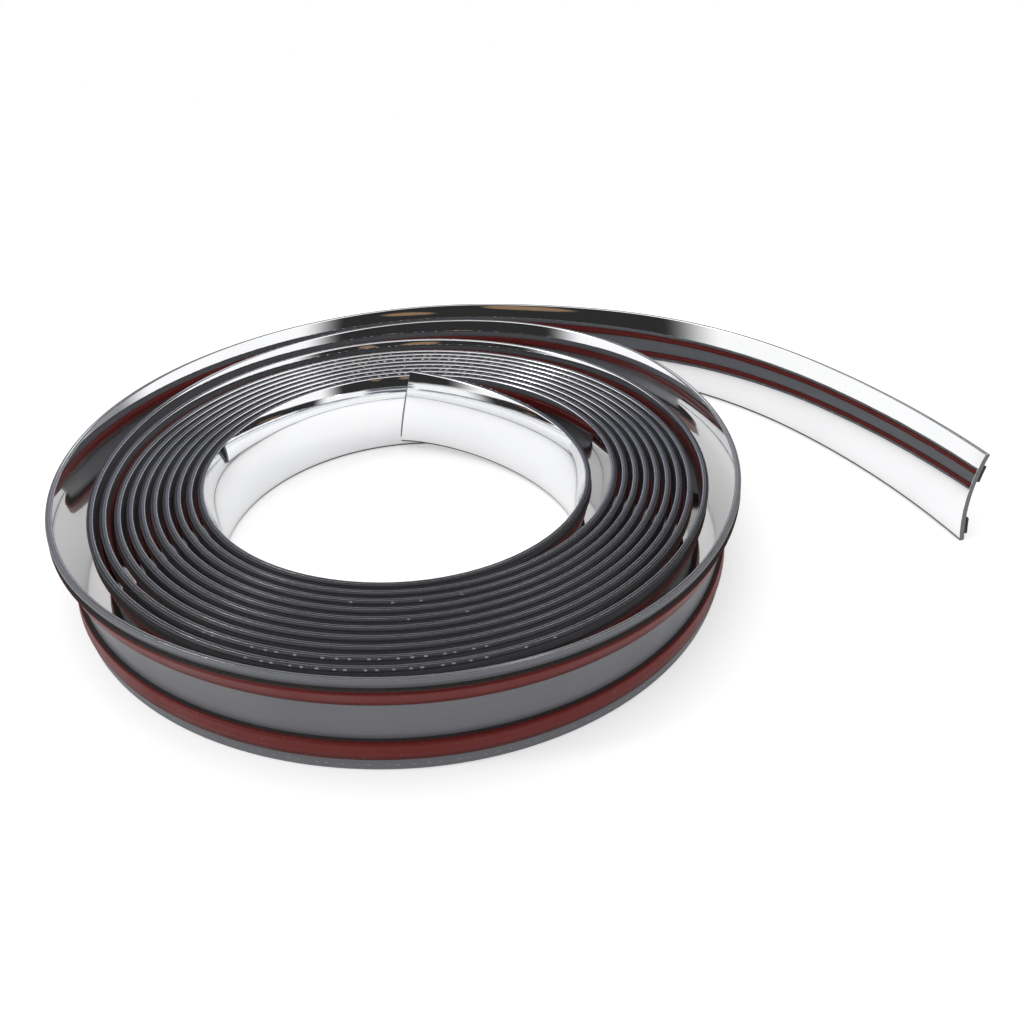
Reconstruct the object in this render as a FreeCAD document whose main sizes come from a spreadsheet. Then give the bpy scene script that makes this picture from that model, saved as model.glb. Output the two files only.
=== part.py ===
"""Coiled chrome trim strip: a domed, self-adhesive moulding wound into a loose flat coil.

The coil stands on the strip's lower edge: the floor is Z = 0 and the coil's axis is Z. The
domed, chromed face looks at the axis. The hollow back looks outwards and carries two foam
tapes, each under its liner film. Seen from above, the strip runs clockwise from its inner end,
at the back of the bore, to the free tail. Lengths are in millimetres and angles in degrees.
"""
import FreeCAD, Part
import math
import os

import Sketcher
from FreeCAD import Vector

document = FreeCAD.newDocument("coiled_trim_strip")

driving_sizes = [
    ("strip_width", 25.0, "height of the strip, from edge to edge"),
    ("strip_thickness", 1.5, "wall of the moulding, square to its face"),
    ("dome_rise", 2.0, "how far the face stands in front of its two edges"),
    ("face_rounding", 0.45, "radius along both edges of the face"),
    ("back_rounding", 0.25, "radius along both edges of the back"),
    ("tape_width", 4.6, "height of each foam tape"),
    ("tape_thickness", 0.85, "foam between the back and the liner"),
    ("tape_offset", 7.5, "middle of each tape from the middle of the strip"),
    ("liner_thickness", 0.15, "film over each tape"),
    ("lap_clearance", 0.17, "free space between a liner and the next lap"),
    ("bore_radius", 51.85, "bend where the tight laps begin"),
    ("tight_laps", 8, "laps that lie close on each other"),
    ("coil_shift_across", -0.36, "centre of the first tight bend, to the right of the axis"),
    ("coil_shift_back", 0.43, "centre of the first tight bend, behind the axis"),
    ("inner_turn_one", 28, "the freed inner lap, read back from the tight laps: turn"),
    ("inner_slack_one", -4.5, "its bend over the bore radius"),
    ("inner_turn_two", 45, "second stretch: turn"),
    ("inner_slack_two", -5.6, "bend over the bore radius"),
    ("inner_turn_three", 50, "third stretch: turn"),
    ("inner_slack_three", -5.3, "bend over the bore radius"),
    ("inner_turn_four", 38, "fourth stretch: turn"),
    ("inner_slack_four", 15.2, "bend over the bore radius"),
    ("inner_turn_five", 16, "stretch at the inner end: turn"),
    ("inner_slack_five", -10.6, "bend over the bore radius"),
    ("loose_turn", 60, "turn of each stretch of the freed outer laps"),
    ("outer_slack_one", 0.7, "first such stretch: its bend over that of a tight lap"),
    ("outer_slack_two", 5.7, "second stretch"),
    ("outer_slack_three", 1.6, "third stretch"),
    ("outer_slack_four", -0.2, "fourth stretch"),
    ("outer_slack_five", 6.8, "fifth stretch"),
    ("outer_slack_six", 0.6, "sixth stretch"),
    ("outer_slack_seven", 0.9, "seventh stretch"),
    ("outer_slack_eight", 13.9, "eighth stretch"),
    ("outer_slack_nine", 13.0, "ninth stretch"),
    ("outer_slack_ten", -7.8, "tenth stretch"),
    ("outer_slack_eleven", 23.5, "eleventh stretch"),
    ("outer_slack_twelve", 2.7, "twelfth stretch"),
    ("outer_slack_thirteen", 12.4, "thirteenth stretch"),
    ("outer_slack_fourteen", 15.6, "fourteenth stretch"),
    ("outer_slack_fifteen", 29.4, "fifteenth stretch"),
    ("tail_turn_one", 14, "the tail, from where it leaves the coil: turn"),
    ("tail_bend_one", 174.6, "bend radius"),
    ("tail_turn_two", 14, "second stretch: turn"),
    ("tail_bend_two", 113.3, "bend radius"),
    ("tail_turn_three", 14, "third stretch: turn"),
    ("tail_bend_three", 106.2, "bend radius"),
    ("tail_turn_four", 14, "fourth stretch: turn"),
    ("tail_bend_four", 126.8, "bend radius"),
    ("tail_turn_five", 20, "stretch at the cut end: turn"),
    ("tail_bend_five", 201.9, "bend radius"),
]

sheet = document.addObject("Spreadsheet::Sheet", "Sizes")
for row, (alias, value, meaning) in enumerate(driving_sizes, start=1):
    sheet.set(f"A{row}", meaning)
    sheet.set(f"B{row}", str(value))
    sheet.setAlias(f"B{row}", alias)
document.recompute()


def size(alias):
    """A driving size as a number."""
    return float(sheet.get(alias))


# The face and the back are arcs about one centre line, on the hollow side of the strip.
FACE_RADIUS = "((Sizes.strip_width^2 / 4 + Sizes.dome_rise^2) / (2 * Sizes.dome_rise))"
BACK_RADIUS = f"({FACE_RADIUS} - Sizes.strip_thickness)"
FOAM_RADIUS = f"({BACK_RADIUS} - Sizes.tape_thickness)"
LINER_RADIUS = f"({FOAM_RADIUS} - Sizes.liner_thickness)"
CENTRE_OUT = f"({FACE_RADIUS} - Sizes.dome_rise)"
CENTRE_UP = "(Sizes.strip_width / 2)"

width = size("strip_width")
face_radius = (width ** 2 / 4 + size("dome_rise") ** 2) / (2 * size("dome_rise"))
back_radius = face_radius - size("strip_thickness")
foam_radius = back_radius - size("tape_thickness")
liner_radius = foam_radius - size("liner_thickness")
section_centre = Vector(face_radius - size("dome_rise"), width / 2)

# Neighbouring laps are the same section moved out by the pitch, so the slope of the dome at
# the tape's far side sets how far that is.
tape_reach = size("tape_offset") + size("tape_width") / 2
slope = math.asin(tape_reach / face_radius)
pitch = (face_radius - liner_radius) / math.cos(slope) + size("lap_clearance")

number_words = ["one", "two", "three", "four", "five", "six", "seven", "eight", "nine", "ten",
                "eleven", "twelve", "thirteen", "fourteen", "fifteen"]
end_stretches = number_words[:5]
quarter = 90.0
full_turn = 360.0
front_heading = 270.0


def tight_bend(laps):
    """Bend radius of the tight winding after a number of laps."""
    return size("bore_radius") + pitch * laps


def winding_stretches():
    """The bend and turn of each stretch: the inner lap, the tight laps, the outer laps, the tail."""
    inner = []
    for word in end_stretches:
        bend = size("bore_radius") + size(f"inner_slack_{word}")
        inner.append((bend, size(f"inner_turn_{word}")))
    stretches = inner[::-1]
    tight_laps = size("tight_laps")
    for step in range(round(tight_laps * full_turn / quarter)):
        stretches.append((tight_bend(step * quarter / full_turn), quarter))
    loose_turn = size("loose_turn")
    for step, word in enumerate(number_words):
        laps = tight_laps + step * loose_turn / full_turn
        stretches.append((tight_bend(laps) + size(f"outer_slack_{word}"), loose_turn))
    for word in end_stretches:
        stretches.append((size(f"tail_bend_{word}"), size(f"tail_turn_{word}")))
    return inner, stretches


def heading_vector(heading):
    """Unit vector of a heading, in degrees clockwise from +Y."""
    angle = math.radians(heading)
    return Vector(math.sin(angle), math.cos(angle), 0)


def outward(heading):
    """Unit vector to the left of a heading, away from the coil's axis."""
    angle = math.radians(heading)
    return Vector(-math.cos(angle), math.sin(angle), 0)


def winding_start(inner):
    """Run the inner lap back from the front of the first tight bend to the inner end."""
    centre = Vector(size("coil_shift_across"), size("coil_shift_back"), 0)
    heading = front_heading
    place = centre + outward(heading) * size("bore_radius")
    for bend, turn in inner:
        centre = place - outward(heading) * bend
        heading -= turn
        place = centre + outward(heading) * bend
    return place, heading


def winding_wire(place, heading, stretches):
    """Tangent arcs, one for each stretch, that the face's lower edge follows."""
    arcs = []
    for bend, turn in stretches:
        centre = place - outward(heading) * bend
        middle = centre + outward(heading + turn / 2) * bend
        end = centre + outward(heading + turn) * bend
        arcs.append(Part.Arc(place, middle, end).toShape())
        place = end
        heading += turn
    return Part.Wire(arcs)


inner_lap, stretches = winding_stretches()
start_place, start_heading = winding_start(inner_lap)
winding = document.addObject("Part::Feature", "Winding")
winding.Shape = winding_wire(start_place, start_heading, stretches)

# A section lies across the winding at the inner end: its X points away from the axis, its Y up.
across = outward(start_heading)
ahead = heading_vector(start_heading)
section_turn = FreeCAD.Rotation(across, Vector(0, 0, 1), ahead, "ZXY")
section_place = FreeCAD.Placement(start_place, section_turn)

START, END, CENTRE = 1, 2, 3
ORIGIN = (-1, 1)


def arc(centre, radius, first, last):
    """Arc about a centre, anticlockwise from the first angle to the last, in degrees."""
    circle = Part.Circle(centre, Vector(0, 0, 1), radius)
    return Part.ArcOfCircle(circle, math.radians(first), math.radians(last))


def angle_of(vector):
    return math.degrees(math.atan2(vector.y, vector.x))


def polar(centre, radius, angle):
    """Point at an angle in degrees about a centre."""
    return centre + Vector(math.cos(math.radians(angle)), math.sin(math.radians(angle))) * radius


def add_section(name):
    sketch = document.addObject("Sketcher::SketchObject", name)
    sketch.Placement = section_place
    return sketch


def constrain(sketch, kind, *where):
    return sketch.addConstraint(Sketcher.Constraint(kind, *where))


def bind(sketch, kind, where, value, name, expression):
    """Add a sized constraint and bind it to the sheet."""
    index = constrain(sketch, kind, *where, value)
    sketch.renameConstraint(index, name)
    sketch.setExpression(f"Constraints.{name}", expression)


def centre_arcs(sketch, first, *others):
    """Put the centre of one arc on the section's centre, and the other arcs' centres on it."""
    bind(sketch, "DistanceX", (*ORIGIN, first, CENTRE), section_centre.x, "centre_out", CENTRE_OUT)
    bind(sketch, "DistanceY", (*ORIGIN, first, CENTRE), section_centre.y, "centre_up", CENTRE_UP)
    for other in others:
        constrain(sketch, "Coincident", other, CENTRE, first, CENTRE)


def strip_section():
    """Domed face and hollow back about one centre, joined by two flat edges with round corners."""
    sketch = add_section("StripSection")
    face_round = size("face_rounding")
    back_round = size("back_rounding")
    face_run = face_radius - face_round
    face_rise = width / 2 - face_round
    back_run = back_radius + back_round
    back_rise = width / 2 - back_round
    face_x = section_centre.x - math.sqrt(face_run ** 2 - face_rise ** 2)
    back_x = section_centre.x - math.sqrt(back_run ** 2 - back_rise ** 2)
    face_low = Vector(face_x, face_round)
    face_high = Vector(face_x, width - face_round)
    back_low = Vector(back_x, back_round)
    back_high = Vector(back_x, width - back_round)
    face_angle = angle_of(face_high - section_centre)
    back_angle = angle_of(back_high - section_centre)
    low_edge = sketch.addGeometry(Part.LineSegment(Vector(face_x, 0), Vector(back_x, 0)))
    back_low_round = sketch.addGeometry(arc(back_low, back_round, 270, 540 - back_angle))
    back = sketch.addGeometry(arc(section_centre, back_radius, back_angle, 360 - back_angle))
    back_high_round = sketch.addGeometry(arc(back_high, back_round, back_angle - 180, 90))
    high_edge = sketch.addGeometry(Part.LineSegment(Vector(back_x, width), Vector(face_x, width)))
    face_high_round = sketch.addGeometry(arc(face_high, face_round, 90, face_angle))
    face = sketch.addGeometry(arc(section_centre, face_radius, face_angle, 360 - face_angle))
    face_low_round = sketch.addGeometry(arc(face_low, face_round, 360 - face_angle, 270))
    outline = [
        (low_edge, END, back_low_round, START),
        (back_low_round, END, back, END),
        (back, START, back_high_round, START),
        (back_high_round, END, high_edge, START),
        (high_edge, END, face_high_round, START),
        (face_high_round, END, face, START),
        (face, END, face_low_round, START),
        (face_low_round, END, low_edge, START),
    ]
    for joint in outline:
        constrain(sketch, "Tangent", *joint)
    centre_arcs(sketch, face, back)
    constrain(sketch, "Horizontal", low_edge)
    constrain(sketch, "Horizontal", high_edge)
    constrain(sketch, "PointOnObject", low_edge, START, -1)
    bind(sketch, "DistanceY", (*ORIGIN, high_edge, START), width, "strip_width", "Sizes.strip_width")
    bind(sketch, "Radius", (face,), face_radius, "face_radius", FACE_RADIUS)
    bind(sketch, "Radius", (back,), back_radius, "back_radius", BACK_RADIUS)
    for side, corner in (("low", face_low_round), ("high", face_high_round)):
        bind(sketch, "Radius", (corner,), face_round, f"face_round_{side}", "Sizes.face_rounding")
    for side, corner in (("low", back_low_round), ("high", back_high_round)):
        bind(sketch, "Radius", (corner,), back_round, f"back_round_{side}", "Sizes.back_rounding")
    return sketch


def layer_section(name, side, inner, outer, inner_expression, outer_expression):
    """A layer over the back, between two arcs, with sides square to it. side is 1 above, -1 below."""
    sketch = add_section(name)
    half = size("tape_width") / 2
    middle = size("tape_offset") * side
    scale = inner / back_radius
    low_rise = (middle - half) * scale
    high_rise = (middle + half) * scale
    low_angle = 180 - math.degrees(math.asin(low_rise / inner))
    high_angle = 180 - math.degrees(math.asin(high_rise / inner))
    on_back = sketch.addGeometry(arc(section_centre, inner, high_angle, low_angle))
    outside = sketch.addGeometry(arc(section_centre, outer, high_angle, low_angle))
    low_points = [polar(section_centre, radius, low_angle) for radius in (inner, outer)]
    high_points = [polar(section_centre, radius, high_angle) for radius in (inner, outer)]
    low_side = sketch.addGeometry(Part.LineSegment(*low_points))
    high_side = sketch.addGeometry(Part.LineSegment(*high_points))
    constrain(sketch, "Coincident", on_back, END, low_side, START)
    constrain(sketch, "Coincident", outside, END, low_side, END)
    constrain(sketch, "Coincident", on_back, START, high_side, START)
    constrain(sketch, "Coincident", outside, START, high_side, END)
    centre_arcs(sketch, on_back, outside)
    constrain(sketch, "PointOnObject", on_back, CENTRE, low_side)
    constrain(sketch, "PointOnObject", on_back, CENTRE, high_side)
    bind(sketch, "Radius", (on_back,), inner, "inner_radius", inner_expression)
    bind(sketch, "Radius", (outside,), outer, "outer_radius", outer_expression)
    for sign, end, rise, edge in ((-1, END, low_rise, "low_side"), (1, START, high_rise, "high_side")):
        reach = f"({side} * Sizes.tape_offset + {sign} * Sizes.tape_width / 2)"
        height = f"{CENTRE_UP} + {reach} * {inner_expression} / {BACK_RADIUS}"
        bind(sketch, "DistanceY", (*ORIGIN, on_back, end), width / 2 + rise, edge, height)
    return sketch


def sweep(name, section):
    """Carry a section along the whole winding as one solid."""
    solid = document.addObject("Part::Sweep", name)
    solid.Label = name
    solid.Sections = [section]
    solid.Spine = (winding, [])
    solid.Solid = True
    solid.Frenet = False
    return solid


foam = (back_radius, foam_radius, BACK_RADIUS, FOAM_RADIUS)
film = (foam_radius, liner_radius, FOAM_RADIUS, LINER_RADIUS)
nodes = [sweep("chrome_strip", strip_section())]
for position, side in (("upper", 1), ("lower", -1)):
    for layer, radii in (("tape", foam), ("liner", film)):
        section = layer_section(f"{position.title()}{layer.title()}Section", side, *radii)
        nodes.append(sweep(f"{position}_{layer}", section))
document.recompute()

for thing in document.Objects:
    if "Invalid" in thing.State or "Error" in thing.State:
        raise RuntimeError(f"{thing.Name} did not compute: {thing.State}")
for node in nodes:
    if node.Shape.isNull() or not node.Shape.isValid():
        raise RuntimeError(f"{node.Name} has no valid shape")

os.makedirs("parts", exist_ok=True)
for node in nodes:
    node.Shape.exportStep(f"parts/{node.Label}.step")

length = winding.Shape.Length
print(f"strip length {length:.0f}, pitch {pitch:.3f}, lap gap {size('lap_clearance')}")
for node in nodes:
    swept = node.Sections[0].Shape
    area = Part.Face(swept).Area
    print(f"{node.Label}: {node.Shape.Volume:.0f}, section by length {area * length:.0f}")
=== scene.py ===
"""Looks of the coiled chrome trim strip: a domed moulding wound into a loose flat coil.

The strip stands on its lower edge on the floor, Z = 0, round the Z axis. Its chromed face looks
at the axis, and its hollow back, with two taped stripes, looks outwards. Every piece is one
profile carried along the same winding. Lengths are in millimetres until a mesh is made, and
angles are in degrees.
"""
import math

import bpy
import numpy as np
from mathutils import Matrix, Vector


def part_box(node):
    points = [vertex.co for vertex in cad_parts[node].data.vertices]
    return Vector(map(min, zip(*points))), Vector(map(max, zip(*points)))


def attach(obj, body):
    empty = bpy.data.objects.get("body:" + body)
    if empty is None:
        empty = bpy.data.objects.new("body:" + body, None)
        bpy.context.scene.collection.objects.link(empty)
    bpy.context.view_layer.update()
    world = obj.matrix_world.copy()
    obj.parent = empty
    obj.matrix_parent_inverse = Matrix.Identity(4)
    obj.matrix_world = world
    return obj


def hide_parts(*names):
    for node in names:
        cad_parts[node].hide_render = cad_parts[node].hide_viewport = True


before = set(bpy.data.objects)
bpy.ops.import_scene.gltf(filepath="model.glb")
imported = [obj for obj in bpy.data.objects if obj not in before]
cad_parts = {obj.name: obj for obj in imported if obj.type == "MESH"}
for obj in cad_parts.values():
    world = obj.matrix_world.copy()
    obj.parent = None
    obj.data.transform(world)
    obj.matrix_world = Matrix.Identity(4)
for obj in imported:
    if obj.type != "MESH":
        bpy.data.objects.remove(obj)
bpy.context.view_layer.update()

MM = 0.001

# The section. Its width is the height of the strip in the frame.
strip_low, strip_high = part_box("chrome_strip")
STRIP_WIDTH = (strip_high.z - strip_low.z) / MM
WALL = 1.5
DOME_RISE = 2.0
FACE_ROUNDING = 0.45
LIP_THICKENING = 0.06
LIP_ROUNDING = 0.42
LIP_FROM_EDGE = 0.85
LIP_BLEND = 0.8
LIP_TO_BACK = 0.3
FILM_OVER_RIM = 0.75
SEAM_WIDTH = 0.12
SEAM_DEPTH = 0.12
FILM_THICKNESS = 0.06
FILM_PROUD = 0.02
FILM_BED = 0.06
FILM_EDGE_OUT = 0.03
FILM_EDGE_DOWN = 0.01
TAPE_WIDTH = 4.6
TAPE_OFFSET = 7.5
LOWER_TAPE_DROP = 0.4
TAPE_THICKNESS = 0.85
TAPE_BULGE = 0.06
TAPE_ROUNDING = 0.04
LINER_THICKNESS = 0.15
LINER_ROUNDING = 0.03
LAP_CLEARANCE = 0.17

# How many points draw each run of the section, and how many samples the back's blend. A side
# that lies hidden keeps every fourth point.
CORNER_POINTS = 6
DOME_POINTS = 29
LIP_POINTS = 8
BACK_POINTS = 10
LAYER_POINTS = 4
LAYER_SIDE_POINTS = 5
BLEND_SAMPLES = 400
HIDDEN_EVERY = 4

MIDDLE = STRIP_WIDTH / 2
FACE_RADIUS = (MIDDLE ** 2 + DOME_RISE ** 2) / (2 * DOME_RISE)
BACK_RADIUS = FACE_RADIUS - WALL
FOAM_RADIUS = BACK_RADIUS - TAPE_THICKNESS
LINER_RADIUS = FOAM_RADIUS - LINER_THICKNESS
SECTION_CENTRE = np.array([FACE_RADIUS - DOME_RISE, MIDDLE])

# The winding: each stretch turns by an angle on a bend, which is stated over that of a tight lap.
BORE_RADIUS = 51.85
TIGHT_LAPS = 8
COIL_SHIFT = (-0.36, 0.43)
INNER_LAP = ((28, -4.5), (45, -5.6), (50, -5.3), (38, 15.2), (16, -10.6))
LOOSE_TURN = 60
LOOSE_SLACK = (0.7, 5.7, 1.6, -0.2, 6.8, 0.6, 0.9, 13.9, 13.0, -7.8, 23.5, 2.7, 12.4, 15.6, 29.4)
TAIL = ((14, 174.6), (14, 113.3), (14, 106.2), (14, 126.8), (20, 201.9))
QUARTER = 90
FRONT_HEADING = 270
SPRING_RUN = 15.0
TRACK_STEP = 0.25
SECTION_STEP = 2.7

# Where the looks change: the outer lap begins along the strip, where the rims' painted shade stops, and
# a painted contact shadow darkens the film's foot.
OUTER_LAP_FROM = 4050.0
OUTER_LAP_BLEND = 100.0
FOOT_SHADE_FADE = (0.85, 0.5)

# The ends, as the coil lies: the inner end stands off the floor, the last lap and the tail lean
# outwards, and both ends were cut on a slant that leaves the lower edge longer. A lean of the last
# lap is its angle, and the distances to the tail's end where it begins, is full, fades and ends.
INNER_LIFT = 2.95
INNER_LIFT_RUN = 75.0
LEAN = 7.0
LEAN_FROM_END = (490.0, 230.0)
LAP_LEANS = (
    (3.7, 920.0, 780.0, 640.0, 480.0),
    (1.7, 480.0, 430.0, 340.0, 250.0),
)
INNER_SLANT = 4.7
TAIL_SLANT = 4.4
SLANT_RUN = 12.0

# The tapes were laid by hand, so they wander a little up and down the back.
TAPE_DRIFT = 0.65
TAPE_DRIFT_RUN = 1333.0
TAPE_DRIFT_START = -0.88

# Marks that the cutter left in a row along the rounded lips. A row is the angle of its middle
# round the lip, its spread to each side, and how far it lies inwards along the back.
MARK_PITCH = 2.85
MARK_STRAY = 0.5
MARK_LENGTH = 0.95
MARK_RISE = 0.15
MARK_SINK = 0.012
MARK_GRID = (6, 5)
MARKS_OFF_ENDS = 6.0
UPPER_ROW = (56.0, 27.0, 0.0)
LOWER_ROW = (-16.0, 22.0, 0.8)
LOWER_ROW_RUN = 900.0
LEAST_STRENGTH = 0.24
BACK_AZIMUTH = 5.0
BACK_SPREAD = 55.0
FRONT_SPREAD = 32.0
FRONT_SHARE = 0.6

# The camera stands at the photograph's viewing angle.
CAMERA_PLACE = (27.30, -188.44, 135.71)
CAMERA_PITCH = 34.114
CAMERA_ROLL = -0.213
FOCAL_PIXELS = 821.34
FRAME_PIXELS = 1024
SENSOR = 36.0

# The stage and its light, as linear levels and watts.
FLOOR_RADIUS = 700.0
FLOOR_SIDES = 96
FLOOR_COLOUR = (0.9, 0.9, 0.9)
FLOOR_GLOW = 0.4
FLOOR_GLOW_IN_MIRRORS = 0.24
ROOM_LIGHT = 0.7
LAMPS = (
    ("overhead_softbox", (-100, 150, 900), (0.9, 0.7), 1.6),
    ("left_strip_light", (-620, -160, 620), (0.1, 0.35), 0.9),
)

# The room that mirrors see. Its parts fade in and out between two elevations, or between two
# values of a direction's X or of the sine of its azimuth, which is 1 at the back. A lit patch is
# its azimuth and elevation, its half length and half height in degrees, and its slope, and its
# edge fades between two sums of the squared shares of these halves.
BACK_WALL = (0.13, 0.135, 0.165)
RIGHT_WALL = (0.27, 0.27, 0.28)
BACK_CEILING = (0.045, 0.046, 0.052)
CAMERA_WALL = (0.027, 0.027, 0.027)
TAN_PATCH = (0.26, 0.17, 0.105)
FLOOR_LINE = (0.0, 2.5)
CEILING_LINE = (86.0, 78.0)
BACK_CEILING_LINE = (28.0, 39.0)
WHITE_BAND_TOP = (22.2, 22.9)
WHITE_BAND_FOOT = (20.0, 18.0)
BACK_FROM = (0.35, 0.6)
RIGHT_FROM = (0.2, 0.5)
FRONT_FULL = -0.72
FRONT_FROM_LEFT = -0.42
FRONT_FROM_RIGHT = -0.5
PATCH_EDGE = (1.3, 0.5)
LIT_PATCHES = (
    ((-67.0, 23.4), 9.0, 1.7, 0.12),
    ((-100.0, 26.6), 9.0, 2.3, 0.1),
    ((-88.0, 10.6), 9.0, 1.6, -0.08),
    ((-65.0, 11.0), 4.0, 1.6, 0.1),
)


def pitch():
    """Distance between laps: the layers' thickness along the slope of the dome, and the clearance."""
    slope = math.asin((TAPE_OFFSET + TAPE_WIDTH / 2) / FACE_RADIUS)
    return (FACE_RADIUS - LINER_RADIUS) / math.cos(slope) + LAP_CLEARANCE


def stretches():
    """Turn and bend radius of each stretch of the winding, from the inner end to the tail."""
    inner = [(turn, BORE_RADIUS + slack) for turn, slack in INNER_LAP]
    tight = [(QUARTER, BORE_RADIUS + pitch() * step / 4) for step in range(TIGHT_LAPS * 4)]
    laps = TIGHT_LAPS + np.arange(len(LOOSE_SLACK)) * LOOSE_TURN / 360
    bends = BORE_RADIUS + pitch() * laps + np.array(LOOSE_SLACK)
    loose = [(LOOSE_TURN, bend) for bend in bends]
    return np.array(inner[::-1] + tight + loose + list(TAIL))


def compass(heading):
    """Unit vectors along headings, clockwise from +Y, and unit vectors to their left."""
    angle = np.radians(heading)
    still = np.zeros_like(angle)
    ahead = np.stack([np.sin(angle), np.cos(angle), still], axis=-1)
    outward = np.stack([-np.cos(angle), np.sin(angle), still], axis=-1)
    return ahead, outward


def track():
    """Arc length, heading and place of the face's lower edge, closely spaced.

    The heading runs up evenly over each stretch, turn by bend, and is averaged over a short run,
    because a springy strip has no sudden change of bend. The place is the running sum of unit
    steps along the heading, set so that the first tight bend starts where the frame has it.
    """
    turns, bends = stretches().T
    joints = np.concatenate([[0], np.cumsum(np.radians(turns) * bends)])
    inner_turn = sum(turn for turn, slack in INNER_LAP)
    headings = FRONT_HEADING - inner_turn + np.concatenate([[0], np.cumsum(turns)])
    along = np.linspace(0, joints[-1], round(joints[-1] / TRACK_STEP) + 1)
    step = along[1]
    half = round(SPRING_RUN / step / 2)
    margin = step * np.arange(1, half + 1)
    slopes = np.diff(headings) / np.diff(joints)
    heading = np.interp(along, joints, headings)
    before = heading[0] - slopes[0] * margin[::-1]
    after = heading[-1] + slopes[-1] * margin
    padded = np.concatenate([before, heading, after])
    heading = np.convolve(padded, np.full(2 * half + 1, 1 / (2 * half + 1)), "valid")
    ahead = compass(heading)[0]
    steps = (ahead[1:] + ahead[:-1]) / 2 * step
    place = np.concatenate([np.zeros((1, 3)), np.cumsum(steps, axis=0)])
    first_bend = np.array([*COIL_SHIFT, 0]) + compass(np.array(FRONT_HEADING))[1] * BORE_RADIUS
    at_bend = np.argmin(abs(along - joints[len(INNER_LAP)]))
    return along, heading, place + first_bend - place[at_bend]


ALONG, HEADING, PLACE = track()
LENGTH = ALONG[-1]


def eased(share):
    """Smooth rise from 0 to 1: three squares less two cubes of the share, which is held to 0..1."""
    share = np.clip(share, 0, 1)
    return share ** 2 * (3 - 2 * share)


def stand(along):
    """Place, ahead, outward and up at arc lengths: the winding's own, lifted and leant at its ends.

    The inner end's lift falls off as the square of the share of its run that is left. The tail's
    lean eases in along the last lap and turns the strip about its upper edge, so the lower edge
    moves towards the axis by the width times the sine, and the back's lower corner stays on the
    floor. The last lap's own leans turn it about its lower edge, each between two eased ends.
    """
    heading = np.interp(along, ALONG, HEADING)
    place = np.stack([np.interp(along, ALONG, PLACE[:, axis]) for axis in range(3)], axis=-1)
    ahead, outward = compass(heading)
    left = np.clip(1 - along / INNER_LIFT_RUN, 0, 1)
    place[:, 2] += INNER_LIFT * left ** 2
    first, last = LEAN_FROM_END
    to_end = LENGTH - along
    lean = np.radians(LEAN * eased((first - to_end) / (first - last)))[:, None]
    vertical = np.array([0, 0, 1.0])
    place = place + (vertical * WALL - outward * STRIP_WIDTH) * np.sin(lean)
    for turn, begin, full, fading, end in LAP_LEANS:
        share = eased((begin - to_end) / (begin - full)) * eased((to_end - end) / (fading - end))
        own = np.radians(turn * share)[:, None]
        lean = lean + own
        place = place + vertical * WALL * np.sin(own)
    up = vertical * np.cos(lean) + outward * np.sin(lean)
    out = outward * np.cos(lean) - vertical * np.sin(lean)
    return place, ahead, out, up


def slant(along, height):
    """How far a point is drawn along the winding by the slanted cuts, which pivot at mid-height."""
    low = 0.5 - height / STRIP_WIDTH
    inner = np.clip(1 - along / SLANT_RUN, 0, 1) ** 2 * INNER_SLANT
    tail = np.clip(1 - (LENGTH - along) / SLANT_RUN, 0, 1) ** 2 * TAIL_SLANT
    return low * (tail - inner)


def drift(along):
    """Rise of the tapes: a sine of the distance from the tail's end."""
    turn = 2 * math.pi * (LENGTH - along) / TAPE_DRIFT_RUN + TAPE_DRIFT_START
    return TAPE_DRIFT * np.sin(turn)


def arc_points(centre, radius, first, last, count, side=1):
    """Points on an arc and their normals, away from its centre for side 1 and towards it for -1."""
    angle = np.radians(np.linspace(first, last, count))
    direction = np.stack([np.cos(angle), np.sin(angle)], axis=-1)
    return np.asarray(centre) + direction * radius, direction * side


def joined(*runs):
    """Points and normals of several runs of a profile, one after the other."""
    return np.concatenate([run[0] for run in runs]), np.concatenate([run[1] for run in runs])


def inset(run, depth):
    """The same run moved in along its normals."""
    return run[0] - run[1] * depth, run[1]


def thinned(run):
    """A run's ends and every fourth of its points, for a side that lies hidden under another."""
    points, normals = run
    kept = np.unique(np.r_[0:len(points):HIDDEN_EVERY, len(points) - 1])
    return points[kept], normals[kept]


def returned(run, depth):
    """The hidden inner side of a thin layer: the run moved in, thinned and in reverse order."""
    points, normals = thinned(inset(run, depth))
    return points[::-1], -normals[::-1]


def mirrored(run):
    """The run upside down about the strip's middle, in the order that keeps the loop's sense."""
    points, normals = run
    return (points * (1, -1) + (0, STRIP_WIDTH))[::-1], (normals * (1, -1))[::-1]


def face_corner():
    """Centre of the rounding along the face's upper edge, and the dome's angle where it ends."""
    run = FACE_RADIUS - FACE_ROUNDING
    rise = MIDDLE - FACE_ROUNDING
    corner = SECTION_CENTRE + (-math.sqrt(run ** 2 - rise ** 2), rise)
    return corner, math.degrees(math.atan2(rise, corner[0] - SECTION_CENTRE[0]))


def face_run(proud):
    """The film's side from the upper rim over the face's corner, the dome and down to the lower rim.

    It is moved out along its normals by the given distance.
    """
    corner, slope = face_corner()
    flat = (np.array([[FILM_OVER_RIM, STRIP_WIDTH]]), np.array([[0.0, 1.0]]))
    rounded = arc_points(corner, FACE_ROUNDING, 90, slope, CORNER_POINTS)
    dome = arc_points(SECTION_CENTRE, FACE_RADIUS, slope, 360 - slope, DOME_POINTS)
    upper = joined(flat, rounded)
    return inset(joined(upper, (dome[0][1:-1], dome[1][1:-1]), mirrored(upper)), -proud)


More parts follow.
